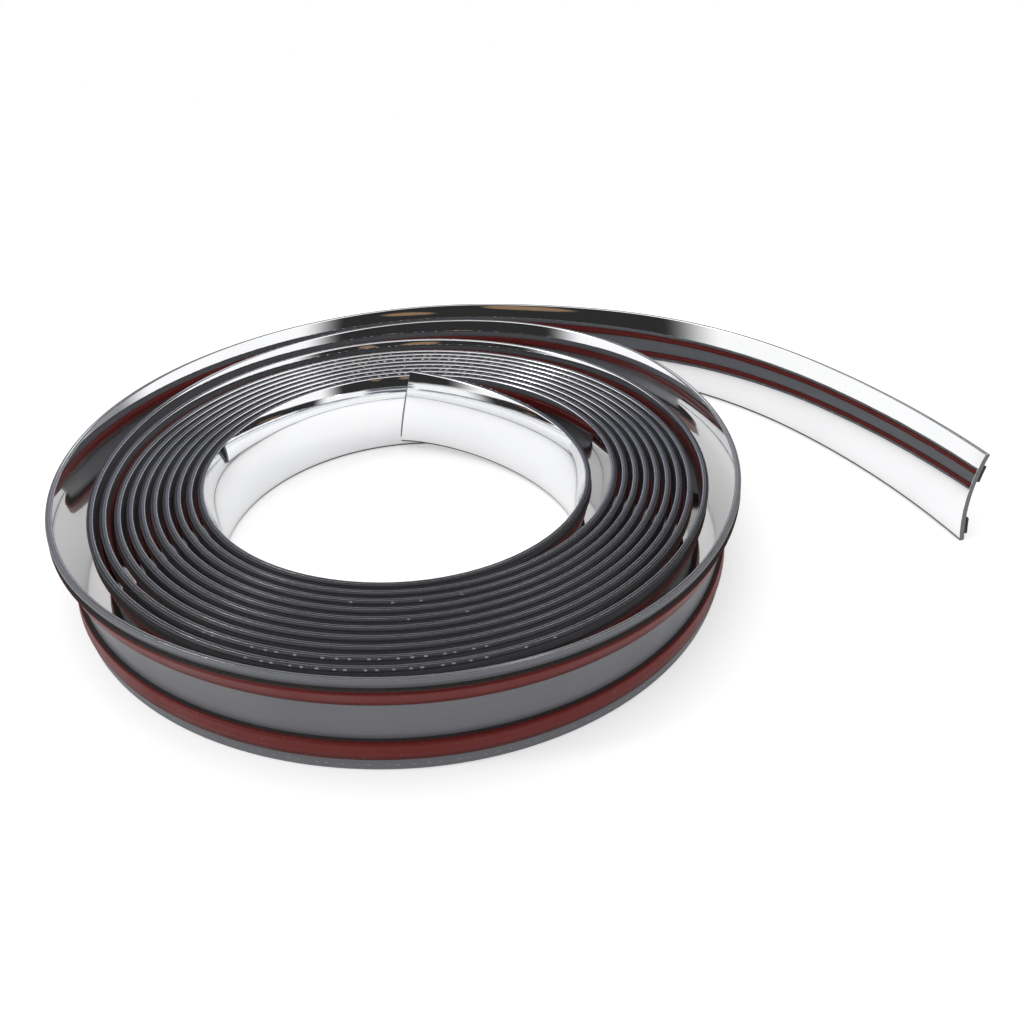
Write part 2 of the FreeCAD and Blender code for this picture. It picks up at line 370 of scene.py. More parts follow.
def seam():
    """The groove in the upper rim beside the film's edge, from the lip's side.

    It slopes down from the rim, and its floor runs flat until just under the film's edge.
    """
    half = SEAM_WIDTH / 2
    middle = FILM_OVER_RIM + half
    across = np.array([middle + half * 1.6, middle + half, middle, FILM_OVER_RIM + 0.01])
    depth = np.array([0, 0.3, 1, 1]) * SEAM_DEPTH
    normals = np.array([[-0.2, 0.98], [-0.6, 0.8], [0.0, 1.0], [0.6, 0.8]])
    return np.stack([across, STRIP_WIDTH - depth], axis=-1), normals


def back_run():
    """Hollow back from the lower edge to the upper one.

    Its distance from the section's centre is that of the back, less a thickening that rises
    smoothly, as three squares less two cubes of the share, over a short run near each edge.
    """
    lip_radius = BACK_RADIUS - LIP_THICKENING
    run = lip_radius + LIP_ROUNDING
    rise = MIDDLE - LIP_ROUNDING
    corner = SECTION_CENTRE + (-math.sqrt(run ** 2 - rise ** 2), -rise)
    slope = math.degrees(math.atan2(rise, SECTION_CENTRE[0] - corner[0]))
    lower = arc_points(corner, LIP_ROUNDING, -90, slope, LIP_POINTS)
    height = np.linspace(lower[0][-1, 1] + LIP_TO_BACK, MIDDLE, BACK_POINTS)
    dense = np.linspace(height[0], MIDDLE, BLEND_SAMPLES)
    share = eased((LIP_FROM_EDGE + LIP_BLEND - dense) / LIP_BLEND)
    radius = BACK_RADIUS - LIP_THICKENING * share
    across = SECTION_CENTRE[0] - np.sqrt(radius ** 2 - (MIDDLE - dense) ** 2)
    lean = np.gradient(across, dense)
    points = np.stack([np.interp(height, dense, across), height], axis=-1)
    normals = np.stack([np.ones(BACK_POINTS), -np.interp(height, dense, lean)], axis=-1)
    normals /= np.linalg.norm(normals, axis=1)[:, None]
    half = joined(lower, (points, normals))
    upper = mirrored(half)
    return joined(half, (upper[0][1:], upper[1][1:]))


def body_profile():
    """Closed loop of the moulding: the hollow back, both rims, and the face bedded for the film."""
    return joined(back_run(), seam(), thinned(face_run(-FILM_BED)), mirrored(seam()))


def film_profile():
    """Closed loop of the film: the face it covers, its edges on both rims, and its inner side."""
    face = face_run(FILM_PROUD)
    edge_point = np.array([[FILM_OVER_RIM + FILM_EDGE_OUT, STRIP_WIDTH - FILM_EDGE_DOWN]])
    edge = (edge_point, np.array([[0.9, 0.43]]))
    inner = returned(face, FILM_THICKNESS)
    return joined(edge, face, mirrored(edge), inner)


def layer_profile(side, inner, outer, bulge, rounding):
    """Closed loop of a layer over the back: two arcs about the section's centre, and its sides.

    A side stands out by the bulge in its middle and is drawn in by the rounding at its corners,
    in between by the parabola through these. Side 1 is the upper tape's and -1 the lower's.
    """
    half = TAPE_WIDTH / 2
    scale = 180 / math.pi / BACK_RADIUS
    offset = TAPE_OFFSET if side > 0 else -TAPE_OFFSET - LOWER_TAPE_DROP
    middle = 180 - offset * scale
    reach = half * scale
    radii = np.linspace(outer, inner, LAYER_SIDE_POINTS)
    swell = 1 - ((radii - (inner + outer) / 2) / ((inner - outer) / 2)) ** 2
    turn = np.radians(middle - reach) - (bulge * swell - rounding * (1 - swell)) / radii
    upper_side = np.stack([np.cos(turn), np.sin(turn)], axis=-1)
    upper_points = SECTION_CENTRE + upper_side * radii[:, None]
    upper_normals = np.stack([upper_side[:, 1], -upper_side[:, 0]], axis=-1)
    turn = np.radians(2 * middle) - turn
    lower_side = np.stack([np.cos(turn), np.sin(turn)], axis=-1)
    lower_points = (SECTION_CENTRE + lower_side * radii[:, None])[::-1]
    lower_normals = np.stack([-lower_side[:, 1], lower_side[:, 0]], axis=-1)[::-1]
    ends = (middle + reach, middle - reach)
    outside = arc_points(SECTION_CENTRE, outer, *ends, LAYER_POINTS, -1)
    inside = arc_points(SECTION_CENTRE, inner, *ends[::-1], LAYER_POINTS)
    outside = (outside[0][1:-1], outside[1][1:-1])
    inside = (inside[0][1:-1], inside[1][1:-1])
    return joined((lower_points, lower_normals), outside, (upper_points, upper_normals), inside)


def wind(along, points, rise):
    """Points of a section, in millimetres across and up, set out at stations along the winding.

    A section is turned about its centre by the rise over the back's radius, which lifts what
    lies on the back. Then its first coordinate goes outward and its second up, from the
    winding's place, and the slant of the cuts draws it along.
    """
    place, ahead, out, up = stand(along)
    turn = (-np.asarray(rise) / BACK_RADIUS * np.ones(len(along)))[:, None]
    across, height = np.moveaxis(points - SECTION_CENTRE, -1, 0)
    turned_across = SECTION_CENTRE[0] + across * np.cos(turn) - height * np.sin(turn)
    turned_height = SECTION_CENTRE[1] + across * np.sin(turn) + height * np.cos(turn)
    drawn = slant(along[:, None], turned_height)
    offsets = out[:, None] * turned_across[..., None] + up[:, None] * turned_height[..., None]
    return place[:, None] + offsets + ahead[:, None] * drawn[..., None], ahead, out, up


def carry(name, profile, material, rise=None):
    """A closed profile carried along the whole winding, with flat ends.

    Vertex (i, j) is point j of the profile at station i. Normals are the profile's own, turned
    with the winding. The map "Strip" is the arc length by the length round the profile, and the
    map "Section" is the profile's own two coordinates, all in metres.
    """
    points, normals = profile
    along = np.linspace(0, LENGTH, round(LENGTH / SECTION_STEP) + 1)
    rises = 0 if rise is None else rise(along)
    grid, ahead, out, up = wind(along, points[None], rises)
    rings, ring = len(along), len(points)
    turned = out[:, None] * normals[None, :, :1] + up[:, None] * normals[None, :, 1:]

    i, j = np.meshgrid(np.arange(rings - 1), np.arange(ring), indexing="ij")
    beside = (j + 1) % ring
    here, next_ring = i * ring, (i + 1) * ring
    quads = np.stack([here + j, here + beside, next_ring + beside, next_ring + j], -1)
    quads = quads.reshape(-1, 4)
    first = np.arange(ring)[::-1]
    last = np.arange(ring) + (rings - 1) * ring
    corners = np.concatenate([quads.ravel(), first, last])
    starts = np.concatenate([np.arange(len(quads)) * 4, [len(quads) * 4, len(quads) * 4 + ring]])

    sides = np.linalg.norm(np.roll(points, -1, axis=0) - points, axis=1)
    around = np.concatenate([[0], np.cumsum(sides)])
    u = along[np.stack([i, i, i + 1, i + 1], -1)].reshape(-1)
    v = around[np.stack([j, j + 1, j + 1, j], -1)].reshape(-1)
    cap_u = np.concatenate([points[first, 0], LENGTH + points[:, 0]])
    cap_v = np.concatenate([points[first, 1], points[:, 1]])
    strip_map = np.stack([np.concatenate([u, cap_u]), np.concatenate([v, cap_v])], -1) * MM
    section_map = points[corners % ring] * MM

    shading = np.concatenate([
        turned.reshape(-1, 3)[quads.ravel()],
        np.repeat(-ahead[:1], ring, axis=0),
        np.repeat(ahead[-1:], ring, axis=0),
    ])
    maps = {"Strip": strip_map, "Section": section_map}
    return new_piece(name, grid.reshape(-1, 3), corners, starts, maps, shading, material)


def new_piece(name, places, corners, starts, maps, shading, material):
    """A mesh object from arrays: places in millimetres, corner indices, and where faces start.

    Maps are UV maps by name, and shading holds the normals of the corners, or nothing.
    """
    mesh = bpy.data.meshes.new(name)
    mesh.vertices.add(len(places))
    mesh.vertices.foreach_set("co", (places * MM).astype(np.float32).ravel())
    mesh.loops.add(len(corners))
    mesh.loops.foreach_set("vertex_index", corners.astype(np.int32))
    mesh.polygons.add(len(starts))
    mesh.polygons.foreach_set("loop_start", starts.astype(np.int32))
    mesh.update(calc_edges=True)
    for title, values in maps.items():
        layer = mesh.uv_layers.new(name=title)
        layer.data.foreach_set("uv", values.astype(np.float32).ravel())
    mesh.validate()
    mesh.polygons.foreach_set("use_smooth", np.ones(len(starts), bool))
    if shading is not None:
        mesh.normals_split_custom_set(shading.astype(np.float32))
    mesh.materials.append(material)
    piece = bpy.data.objects.new(name, mesh)
    bpy.context.scene.collection.objects.link(piece)
    return piece


def mark_strength(along):
    """How plain the marks are: most at the back of the coil, fewer in front, in slow swings.

    The marks fall off from the back and from the front as e to the minus square of the azimuth
    over a spread. The swing and the unevenness are sines whose phase is itself a sine of the arc
    length, so that neither comes back evenly.
    """
    places = stand(along)[0]
    azimuth = np.degrees(np.arctan2(places[:, 0], places[:, 1]))
    near_back = np.exp(-((azimuth - BACK_AZIMUTH) / BACK_SPREAD) ** 2)
    near_front = FRONT_SHARE * np.exp(-((180 - abs(azimuth)) / FRONT_SPREAD) ** 2)
    swing = 0.5 + 0.5 * np.sin(along * 0.021 + 2 * np.sin(along * 0.0047))
    uneven = 0.5 + 0.5 * np.sin(along * 12.9898 + 4 * np.sin(along * 7.13))
    return (near_front + near_back) * (0.3 + 0.7 * swing) * (0.5 + 0.5 * uneven)


def lip_marks(name, stations, strength, row, side, material):
    """A row of small mounds along one rounded lip, side 1 for the upper lip and -1 for the lower.

    Over a and b from -1 to 1, a mound runs a half lengths along the strip and b spreads round
    the lip from its middle direction. It stands off the rounding by the rise times one less a
    squared, times one less b squared, and its rim is sunk into the lip. Its strength scales the
    rise, and a faint mound is shorter too. The row can lie some way inwards along the back.
    """
    lean, spread, inwards = row
    run = BACK_RADIUS - LIP_THICKENING + LIP_ROUNDING
    reach = MIDDLE - LIP_ROUNDING
    centre = SECTION_CENTRE + (-math.sqrt(run ** 2 - reach ** 2), side * reach)
    slope = math.asin(reach / run)
    centre = centre + (-math.sin(slope) * inwards, -side * math.cos(slope) * inwards)
    rows, columns = MARK_GRID
    a, b = np.meshgrid(np.linspace(-1, 1, rows), np.linspace(-1, 1, columns), indexing="ij")
    a, b = a.ravel(), b.ravel()
    dome = (1 - a ** 2) * (1 - b ** 2)
    turn = np.radians(side * (lean + b * spread))
    radius = LIP_ROUNDING - MARK_SINK + (MARK_RISE * strength)[:, None] * dome
    across = centre[0] + radius * np.cos(turn)
    height = centre[1] + radius * np.sin(turn)
    along = stations[:, None] + a * (MARK_LENGTH / 2) * (0.6 + 0.4 * strength)[:, None]
    points = np.stack([across, height], axis=-1).reshape(-1, 1, 2)
    places = wind(along.ravel(), points, 0)[0].reshape(-1, 3)
    i, j = np.meshgrid(np.arange(rows - 1), np.arange(columns - 1), indexing="ij")
    corner = (i * columns + j).ravel()
    quad = np.stack([corner, corner + columns, corner + columns + 1, corner + 1], axis=-1)[:, ::side]
    mound_starts = np.arange(len(stations)) * rows * columns
    flat = (quad[None] + mound_starts[:, None, None]).ravel()
    strip_map = np.stack([along.ravel()[flat], height.ravel()[flat]], axis=-1) * MM
    maps = {"Strip": strip_map, "Section": points.reshape(-1, 2)[flat] * MM}
    return new_piece(name, places, flat, np.arange(0, len(flat), 4), maps, None, material)


def mark_lips(material):
    """The marks on both lips: plain ones on the upper lip, faint ones along the lower outer lap."""
    stations = np.arange(MARKS_OFF_ENDS, LENGTH - MARKS_OFF_ENDS, MARK_PITCH)
    stations = stations + MARK_STRAY * np.sin(stations * 5.3)
    strength = mark_strength(stations)
    plain = strength > LEAST_STRENGTH
    upper = lip_marks("upper_lip_marks", stations[plain], strength[plain], UPPER_ROW, 1, material)
    outer = stations[stations > LENGTH - LOWER_ROW_RUN]
    faint = 0.3 + 0.2 * np.sin(outer * 0.05)
    lower = lip_marks("lower_lip_marks", outer, faint, LOWER_ROW, -1, material)
    return upper, lower


def new_material(name):
    """A material with one Principled shader, its node tree and that shader."""
    material = bpy.data.materials.new(name)
    material.use_nodes = True
    tree = material.node_tree
    return material, tree, tree.nodes["Principled BSDF"]


def feed(tree, socket, value):
    """Put a socket's link, a number or a colour into a node's input."""
    if isinstance(value, bpy.types.NodeSocket):
        tree.links.new(value, socket)
    elif isinstance(value, tuple) and len(value) == 3 and socket.type == "RGBA":
        socket.default_value = (*value, 1)
    else:
        socket.default_value = value


def maths(tree, operation, *values, clamp=False):
    """Result of a Math node."""
    node = tree.nodes.new("ShaderNodeMath")
    node.operation = operation
    node.use_clamp = clamp
    for socket, value in zip(node.inputs, values):
        feed(tree, socket, value)
    return node.outputs[0]


def rise_over(tree, value, low, high):
    """Smooth share of the way from one level to another; it falls where high is below low."""
    node = tree.nodes.new("ShaderNodeMapRange")
    node.interpolation_type = "SMOOTHSTEP"
    feed(tree, node.inputs["Value"], value)
    if isinstance(high, bpy.types.NodeSocket) or high > low:
        feed(tree, node.inputs["From Min"], low)
        feed(tree, node.inputs["From Max"], high)
        return node.outputs["Result"]
    feed(tree, node.inputs["From Min"], high)
    feed(tree, node.inputs["From Max"], low)
    node.inputs["To Min"].default_value = 1
    node.inputs["To Max"].default_value = 0
    return node.outputs["Result"]


def mixed(tree, share, first, second):
    """Colour between two colours."""
    node = tree.nodes.new("ShaderNodeMix")
    node.data_type = "RGBA"
    feed(tree, node.inputs["Factor"], share)
    feed(tree, node.inputs[6], first)
    feed(tree, node.inputs[7], second)
    return node.outputs[2]


def mapped(tree, title):
    """A UV map of the piece as a vector."""
    node = tree.nodes.new("ShaderNodeUVMap")
    node.uv_map = title
    return node.outputs["UV"]


def object_place(tree):
    """The object's own coordinates as a vector."""
    return tree.nodes.new("ShaderNodeTexCoord").outputs["Object"]


def new_group(name, inputs, outputs):
    """A shader node group with its input and output nodes. Inputs are names, kinds and values."""
    group = bpy.data.node_groups.new(name, "ShaderNodeTree")
    for title, kind, value in inputs:
        socket = group.interface.new_socket(title, in_out="INPUT", socket_type=f"NodeSocket{kind}")
        if value is not None:
            socket.default_value = value
    for title, kind in outputs:
        group.interface.new_socket(title, in_out="OUTPUT", socket_type=f"NodeSocket{kind}")
    given = group.nodes.new("NodeGroupInput").outputs
    wanted = group.nodes.new("NodeGroupOutput").inputs
    return group, given, wanted


def placed(tree, group, **values):
    """The outputs of a group placed in a tree, with its inputs set. Spaces in names are written _."""
    node = tree.nodes.new("ShaderNodeGroup")
    node.node_tree = group
    for title, value in values.items():
        feed(tree, node.inputs[title.replace("_", " ")], value)
    return node.outputs


def noise(tree, vector, scale, detail, roughness):
    """Value of a Noise Texture."""
    node = tree.nodes.new("ShaderNodeTexNoise")
    feed(tree, node.inputs["Vector"], vector)
    feed(tree, node.inputs["Scale"], scale)
    node.inputs["Detail"].default_value = detail
    node.inputs["Roughness"].default_value = roughness
    return node.outputs["Fac"]


def make_running_streaks():
    """Streaks that the die leaves along an extruded strip: noise drawn out along the map's length."""
    inputs = [("Strip", "Vector", None), ("Length", "Float", 0.05), ("Spacing", "Float", 0.0006)]
    group, given, wanted = new_group("Running streaks", inputs, [("Streak", "Float"), ("Fine", "Float")])
    parts = group.nodes.new("ShaderNodeSeparateXYZ")
    group.links.new(given["Strip"], parts.inputs[0])
    drawn = group.nodes.new("ShaderNodeCombineXYZ")
    feed(group, drawn.inputs["X"], maths(group, "DIVIDE", parts.outputs["X"], given["Length"]))
    feed(group, drawn.inputs["Y"], maths(group, "DIVIDE", parts.outputs["Y"], given["Spacing"]))
    group.links.new(noise(group, drawn.outputs[0], 1.0, 3.0, 0.6), wanted["Streak"])
    group.links.new(noise(group, drawn.outputs[0], 3.7, 2.0, 0.5), wanted["Fine"])
    return group


def make_handling():
    """What handling leaves: broad smudges, and specks of dust where a fine noise peaks."""
    inputs = [
        ("Place", "Vector", None),
        ("Smudge Size", "Float", 0.02),
        ("Speck Size", "Float", 0.0006),
        ("Speck Share", "Float", 0.3),
    ]
    outputs = [("Smudge", "Float"), ("Specks", "Float")]
    group, given, wanted = new_group("Handling", inputs, outputs)
    broad = noise(group, given["Place"], maths(group, "DIVIDE", 1.0, given["Smudge Size"]), 3.0, 0.6)
    group.links.new(rise_over(group, broad, 0.38, 0.68), wanted["Smudge"])
    fine = noise(group, given["Place"], maths(group, "DIVIDE", 1.0, given["Speck Size"]), 1.0, 0.4)
    peak = rise_over(group, fine, 0.70, 0.78)
    group.links.new(maths(group, "MULTIPLY", peak, given["Speck Share"]), wanted["Specks"])
    return group


def make_edge_band():
    """Masks of both rims, of the foot on the floor for a painted contact shadow, and of the rims inside
    for painted shade and on the outer lap.

    The section's height gives the rims and the foot, and the length along the strip the lap.
    """
    inputs = [
        ("Section", "Vector", None),
        ("Strip", "Vector", None),
        ("Middle", "Float", 0.0125),
        ("Reach", "Float", 0.0004),
        ("Blend", "Float", 0.0004),
        ("Outer From", "Float", 4.0),
        ("Outer Blend", "Float", 0.1),
    ]
    outputs = [("Edge", "Float"), ("Foot Shade", "Float"), ("Inner Rim Shade", "Float"), ("Outer Edge", "Float")]
    group, given, wanted = new_group("Edge band", inputs, outputs)
    section = group.nodes.new("ShaderNodeSeparateXYZ")
    group.links.new(given["Section"], section.inputs[0])
    strip = group.nodes.new("ShaderNodeSeparateXYZ")
    group.links.new(given["Strip"], strip.inputs[0])
    height = section.outputs["Y"]
    off_middle = maths(group, "ABSOLUTE", maths(group, "SUBTRACT", height, given["Middle"]))
    from_rim = maths(group, "SUBTRACT", given["Middle"], off_middle)
    past = maths(group, "SUBTRACT", from_rim, given["Reach"])
    edge = maths(group, "SUBTRACT", 1.0, maths(group, "DIVIDE", past, given["Blend"]), clamp=True)
    over = maths(group, "SUBTRACT", strip.outputs["X"], given["Outer From"])
    share = maths(group, "DIVIDE", over, given["Outer Blend"])
    outer_edge = maths(group, "MULTIPLY", edge, maths(group, "ADD", 0.5, share, clamp=True))
    foot_top, foot_full = (level * MM for level in FOOT_SHADE_FADE)
    group.links.new(edge, wanted["Edge"])
    group.links.new(rise_over(group, height, foot_top, foot_full), wanted["Foot Shade"])
    group.links.new(outer_edge, wanted["Outer Edge"])
    group.links.new(maths(group, "SUBTRACT", edge, outer_edge), wanted["Inner Rim Shade"])
    return group


def make_foam_cells():
    """Closed cells of a foam: the distance to the cells' walls gives the height and the tone."""
    inputs = [("Place", "Vector", None), ("Cell Size", "Float", 0.0003)]
    group, given, wanted = new_group("Foam cells", inputs, [("Height", "Float"), ("Tone", "Float")])
    cells = group.nodes.new("ShaderNodeTexVoronoi")
    cells.feature = "F1"
    feed(group, cells.inputs["Vector"], given["Place"])
    feed(group, cells.inputs["Scale"], maths(group, "DIVIDE", 1.0, given["Cell Size"]))
    group.links.new(cells.outputs["Distance"], wanted["Height"])
    group.links.new(rise_over(group, cells.outputs["Distance"], 0.1, 0.7), wanted["Tone"])
    return group


def bumped(tree, shader, height, strength, distance):
    """Put a height on a shader as a Bump, with its distance in metres."""
    bump = tree.nodes.new("ShaderNodeBump")
    bump.inputs["Strength"].default_value = strength
    bump.inputs["Distance"].default_value = distance
    tree.links.new(height, bump.inputs["Height"])
    tree.links.new(bump.outputs["Normal"], shader.inputs["Normal"])


def banded(tree, edge_band, reach, blend):
    """The edge band's outputs for rims of a given reach and blend, in millimetres."""
    maps = {"Section": mapped(tree, "Section"), "Strip": mapped(tree, "Strip")}
    outer = {"Outer From": OUTER_LAP_FROM * MM, "Outer Blend": OUTER_LAP_BLEND * MM}
    sizes = {"Middle": MIDDLE * MM, "Reach": reach * MM, "Blend": blend * MM}
    return placed(tree, edge_band, **maps, **outer, **sizes)


def make_vinyl(streaks, handling, edge_band):
    """Moulded vinyl: a satin blue-grey back, with painted shade that darkens the rims of the inner laps
    near-black; the outer lap's rims keep the back's colour.
    """
    material, tree, shader = new_material("moulded_vinyl")
    streak = placed(tree, streaks, Strip=mapped(tree, "Strip"), Length=0.06, Spacing=0.0005)
    worn = placed(tree, handling, Place=object_place(tree), Smudge_Size=0.018, Speck_Share=0.12)
    band = banded(tree, edge_band, 0.5, 0.3)
    plain = mixed(tree, streak["Streak"], (0.14, 0.144, 0.158), (0.165, 0.169, 0.184))
    # Painted shade: both rims of the inner laps, which lie between other laps, darken to near black; the
    # outer lap's rims are left unshaded.
    shaded_rims = mixed(tree, band["Inner Rim Shade"], plain, (0.032, 0.032, 0.036))
    dusty = mixed(tree, worn["Specks"], shaded_rims, (0.4, 0.4, 0.38))
    feed(tree, shader.inputs["Base Color"], dusty)
    rough = maths(tree, "ADD", 0.36, maths(tree, "MULTIPLY", worn["Smudge"], 0.12))
    feed(tree, shader.inputs["Roughness"], rough)
    bumped(tree, shader, streak["Fine"], 0.12, 0.00004)
    return material


def make_chrome(streaks, handling, edge_band):
    """Vapour-coated chrome film: a mirror with a little haze, more of it on the handled outer rim, and a
    painted contact shadow along its foot.
    """
    material, tree, shader = new_material("chrome_film")
    waves = placed(tree, streaks, Strip=mapped(tree, "Strip"), Length=0.03, Spacing=0.006)
    worn = placed(tree, handling, Place=object_place(tree), Smudge_Size=0.03, Speck_Share=0.5)
    band = banded(tree, edge_band, 0.1, 0.15)
    hazed = mixed(tree, worn["Smudge"], (0.97, 0.975, 0.985), (0.94, 0.945, 0.955))
    dusty = mixed(tree, worn["Specks"], hazed, (0.6, 0.6, 0.6))
    # Painted contact shadow: the film's foot next to the floor is darkened to near black.
    feed(tree, shader.inputs["Base Color"], mixed(tree, band["Foot Shade"], dusty, (0.08, 0.08, 0.085)))
    metal = maths(tree, "SUBTRACT", 1.0, maths(tree, "MULTIPLY", band["Outer Edge"], 0.08))
    feed(tree, shader.inputs["Metallic"], metal)
    rough = maths(tree, "ADD", 0.02, maths(tree, "MULTIPLY", worn["Smudge"], 0.03))
    rim_haze = maths(tree, "MULTIPLY", band["Edge"], 0.08)
    feed(tree, shader.inputs["Roughness"], maths(tree, "ADD", rough, rim_haze))
    bumped(tree, shader, waves["Streak"], 0.05, 0.0002)
    return material


def make_liner(streaks, handling):
    """Release film: satin dark red, with fine streaks along it and dull smudges."""
    material, tree, shader = new_material("liner_film")
    streak = placed(tree, streaks, Strip=mapped(tree, "Strip"), Length=0.04, Spacing=0.0004)
    worn = placed(tree, handling, Place=object_place(tree), Smudge_Size=0.02, Speck_Share=0.3)
    red = mixed(tree, streak["Streak"], (0.125, 0.008, 0.006), (0.165, 0.014, 0.011))
    feed(tree, shader.inputs["Base Color"], mixed(tree, worn["Specks"], red, (0.35, 0.25, 0.22)))
    rough = maths(tree, "ADD", 0.4, maths(tree, "MULTIPLY", worn["Smudge"], 0.12))
    feed(tree, shader.inputs["Roughness"], rough)
    shader.inputs["Specular IOR Level"].default_value = 0.3
    bumped(tree, shader, streak["Fine"], 0.15, 0.00004)
    return material


def make_foam(foam_cells):
    """Closed-cell tape foam, matt black."""
    material, tree, shader = new_material("tape_foam")
    cells = placed(tree, foam_cells, Place=object_place(tree), Cell_Size=0.0003)
    tone = mixed(tree, cells["Tone"], (0.055, 0.045, 0.045), (0.03, 0.025, 0.025))
    feed(tree, shader.inputs["Base Color"], tone)
    shader.inputs["Roughness"].default_value = 0.9
    bumped(tree, shader, cells["Height"], 0.5, 0.00008)
    return material


def make_mark_glint(handling):
    """The marks' vinyl with a painted glint: white from 50 mm behind the axis, grey in front of it."""
    material, tree, shader = new_material("mark_glint_vinyl")
    worn = placed(tree, handling, Place=object_place(tree), Smudge_Size=0.004, Speck_Share=0.0)
    parts = tree.nodes.new("ShaderNodeSeparateXYZ")
    tree.links.new(object_place(tree), parts.inputs[0])
    # Painted highlight: the marks are white towards the back of the coil and grey in front, in place of
    # the lamp's glints on them.
    glint_share = rise_over(tree, parts.outputs["Y"], 0.0, 0.05)
    tone = mixed(tree, glint_share, (0.3, 0.3, 0.31), (0.95, 0.95, 0.97))
    feed(tree, shader.inputs["Base Color"], mixed(tree, worn["Smudge"], tone, (0.25, 0.25, 0.26)))
    shader.inputs["Roughness"].default_value = 0.18
    return material


def dress(piece, node=None):
    """Ride a piece on the part, and let it stand for a node of the frame."""
    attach(piece, "root")
    if node:
        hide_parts(node)


def dress_strip():
    """All pieces of the strip: the moulding, its chrome film, the marks, the tapes and the liners."""
    streaks = make_running_streaks()
    handling = make_handling()
    edge_band = make_edge_band()
    vinyl = make_vinyl(streaks, handling, edge_band)
    chrome = make_chrome(streaks, handling, edge_band)
    liner = make_liner(streaks, handling)
    foam = make_foam(make_foam_cells())
    mark_glint = make_mark_glint(handling)

    dress(carry("moulded_strip", body_profile(), vinyl), "chrome_strip")
    dress(carry("chrome_film", film_profile(), chrome))

    for row in mark_lips(mark_glint):
        dress(row)

    for position, side in (("upper", 1), ("lower", -1)):
        tape_profile = layer_profile(side, BACK_RADIUS, FOAM_RADIUS, TAPE_BULGE, TAPE_ROUNDING)
        tape = carry(f"{position}_foam_tape", tape_profile, foam, drift)
        dress(tape, f"{position}_tape")
        cover_profile = layer_profile(side, FOAM_RADIUS, LINER_RADIUS, 0, LINER_ROUNDING)
        cover = carry(f"{position}_liner_film", cover_profile, liner, drift)
        dress(cover, f"{position}_liner")


def lay_floor():
    """A round sheet of white paper. The camera and mirrors see it lit from within as well.

    Its own light keeps it white in the picture and in the chrome, and doesn't fall on the strip.
    """
    angle = np.linspace(0, 2 * math.pi, FLOOR_SIDES + 1)[:-1]
    rim = np.stack([np.cos(angle), np.sin(angle), np.zeros(FLOOR_SIDES)], -1) * FLOOR_RADIUS
    material, tree, shader = new_material("paper")
    shader.inputs["Base Color"].default_value = (*FLOOR_COLOUR, 1)
    shader.inputs["Roughness"].default_value = 0.9
    shader.inputs["Specular IOR Level"].default_value = 0.0
    shader.inputs["Emission Color"].default_value = (1, 1, 1, 1)
    path = tree.nodes.new("ShaderNodeLightPath").outputs
    seen = maths(tree, "MULTIPLY", path["Is Camera Ray"], FLOOR_GLOW)
    mirrored_too = maths(tree, "MULTIPLY", path["Is Glossy Ray"], FLOOR_GLOW_IN_MIRRORS)
    feed(tree, shader.inputs["Emission Strength"], maths(tree, "ADD", seen, mirrored_too))
    material.cycles.emission_sampling = "NONE"
    new_piece("floor", rim, np.arange(FLOOR_SIDES), np.array([0]), {}, None, material)


def patch(tree, azimuth, elevation, centre, reach, height, tilt):
    """Soft tilted ellipse on the sky, from the sum of the squares of its two shares."""

    def squared_share(distance, full):
        share = maths(tree, "ABSOLUTE", maths(tree, "DIVIDE", distance, full))
        return maths(tree, "POWER", share, 2.0)

    off = maths(tree, "SUBTRACT", azimuth, centre[0])
    level = maths(tree, "ADD", centre[1], maths(tree, "MULTIPLY", off, tilt))
    over = maths(tree, "SUBTRACT", elevation, level)
    shares = maths(tree, "ADD", squared_share(off, reach), squared_share(over, height))
    return rise_over(tree, shares, *PATCH_EDGE)


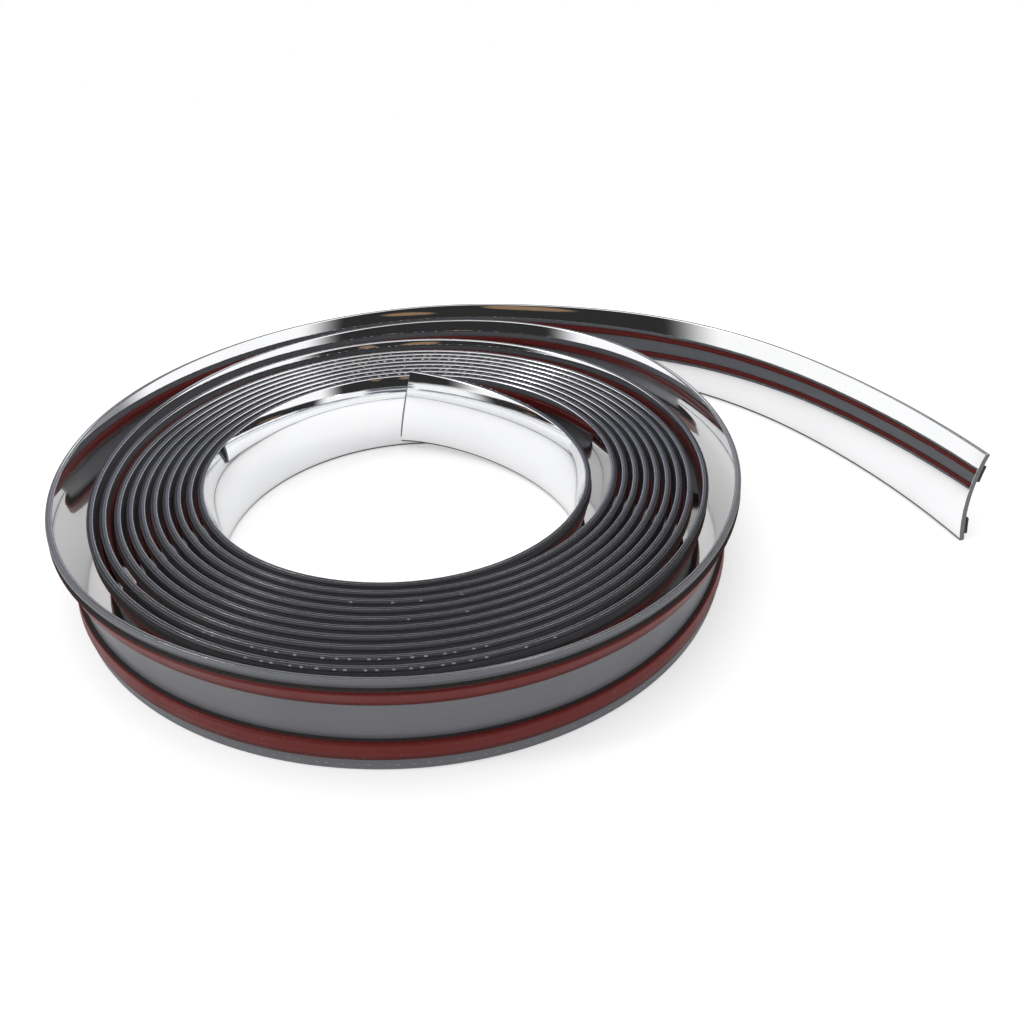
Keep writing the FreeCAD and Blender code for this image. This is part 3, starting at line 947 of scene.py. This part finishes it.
def light_room():
    """The studio: white to the camera, an even soft light on surfaces, and a room for mirrors.

    The room is white at the sides. Beyond the coil it is a grey wall with a white band across it,
    under a darker ceiling. Behind the camera it is near black, with lamp-lit patches, between
    the floor and a white ceiling.
    """
    world = bpy.data.worlds.new("studio")
    bpy.context.scene.world = world
    world.use_nodes = True
    world.cycles.sampling_method = "NONE"
    tree = world.node_tree
    direction = tree.nodes.new("ShaderNodeTexCoord").outputs["Generated"]
    parts = tree.nodes.new("ShaderNodeSeparateXYZ")
    tree.links.new(direction, parts.inputs[0])
    x, y, z = parts.outputs
    elevation = maths(tree, "DEGREES", maths(tree, "ARCSINE", z))
    azimuth_angle = maths(tree, "ARCTAN2", y, x)
    azimuth = maths(tree, "DEGREES", azimuth_angle)
    towards_back = maths(tree, "SINE", azimuth_angle)
    above_floor = rise_over(tree, elevation, *FLOOR_LINE)

    behind = rise_over(tree, towards_back, *BACK_FROM)
    band_top = rise_over(tree, elevation, *WHITE_BAND_TOP)
    band_foot = rise_over(tree, elevation, *WHITE_BAND_FOOT)
    off_band = maths(tree, "MAXIMUM", band_top, band_foot)
    grey = maths(tree, "MULTIPLY", maths(tree, "MULTIPLY", behind, off_band), above_floor)
    dark_back = maths(tree, "MULTIPLY", behind, rise_over(tree, elevation, *BACK_CEILING_LINE))
    wall = mixed(tree, rise_over(tree, x, *RIGHT_FROM), BACK_WALL, RIGHT_WALL)

    on_right = maths(tree, "GREATER_THAN", x, 0.0)
    moved = maths(tree, "MULTIPLY", on_right, FRONT_FROM_LEFT - FRONT_FROM_RIGHT)
    front_from = maths(tree, "SUBTRACT", FRONT_FROM_LEFT, moved)
    not_front = rise_over(tree, towards_back, FRONT_FULL, front_from)
    camera_side = maths(tree, "SUBTRACT", 1.0, not_front)
    below_ceiling = rise_over(tree, elevation, *CEILING_LINE)
    between = maths(tree, "MULTIPLY", above_floor, below_ceiling)
    dark_front = maths(tree, "MULTIPLY", camera_side, between)

    room = mixed(tree, grey, (1.0, 1.0, 1.0), wall)
    room = mixed(tree, dark_back, room, BACK_CEILING)
    patches = 0.0
    for lit_patch in LIT_PATCHES:
        patches = maths(tree, "MAXIMUM", patches, patch(tree, azimuth, elevation, *lit_patch))
    tan = mixed(tree, patches, CAMERA_WALL, TAN_PATCH)
    room = mixed(tree, dark_front, room, tan)

    def background(colour, strength):
        node = tree.nodes.new("ShaderNodeBackground")
        feed(tree, node.inputs["Color"], colour)
        node.inputs["Strength"].default_value = strength
        return node.outputs[0]

    def choose(share, first, second):
        node = tree.nodes.new("ShaderNodeMixShader")
        for socket, value in zip(node.inputs, (share, first, second)):
            feed(tree, socket, value)
        return node.outputs[0]

    path = tree.nodes.new("ShaderNodeLightPath").outputs
    even = background((1.0, 1.0, 1.0), ROOM_LIGHT)
    lit = choose(path["Is Glossy Ray"], even, background(room, 1.0))
    shown = choose(path["Is Camera Ray"], lit, background((1.0, 1.0, 1.0), 1.0))
    tree.links.new(shown, tree.nodes["World Output"].inputs["Surface"])


def hang_lamp(name, place, size, power):
    """A rectangular softbox at a place, in millimetres, that looks at the frame's origin."""
    lamp = bpy.data.lights.new(name, "AREA")
    lamp.shape = "RECTANGLE"
    lamp.size, lamp.size_y = size
    lamp.energy = power
    holder = bpy.data.objects.new(name, lamp)
    holder.location = [value * MM for value in place]
    holder.rotation_euler = (-holder.location).to_track_quat("-Z", "Y").to_euler()
    bpy.context.scene.collection.objects.link(holder)


def stand_camera():
    """The camera at the photograph's viewing angle, and the plain view transform."""
    camera_data = bpy.data.cameras.new("camera")
    camera_data.sensor_width = SENSOR
    camera_data.lens = FOCAL_PIXELS / FRAME_PIXELS * SENSOR
    camera_data.clip_start = 0.01
    camera = bpy.data.objects.new("camera", camera_data)
    bpy.context.scene.collection.objects.link(camera)
    tilt = Matrix.Rotation(math.radians(90 - CAMERA_PITCH), 4, "X")
    roll = Matrix.Rotation(math.radians(CAMERA_ROLL), 4, "Z")
    place = Matrix.Translation([value * MM for value in CAMERA_PLACE])
    camera.matrix_world = place @ tilt @ roll
    bpy.context.scene.camera = camera
    bpy.context.scene.view_settings.view_transform = "Standard"


dress_strip()
lay_floor()
light_room()
for lamp_name, lamp_place, lamp_size, lamp_power in LAMPS:
    hang_lamp(lamp_name, lamp_place, lamp_size, lamp_power)
stand_camera()
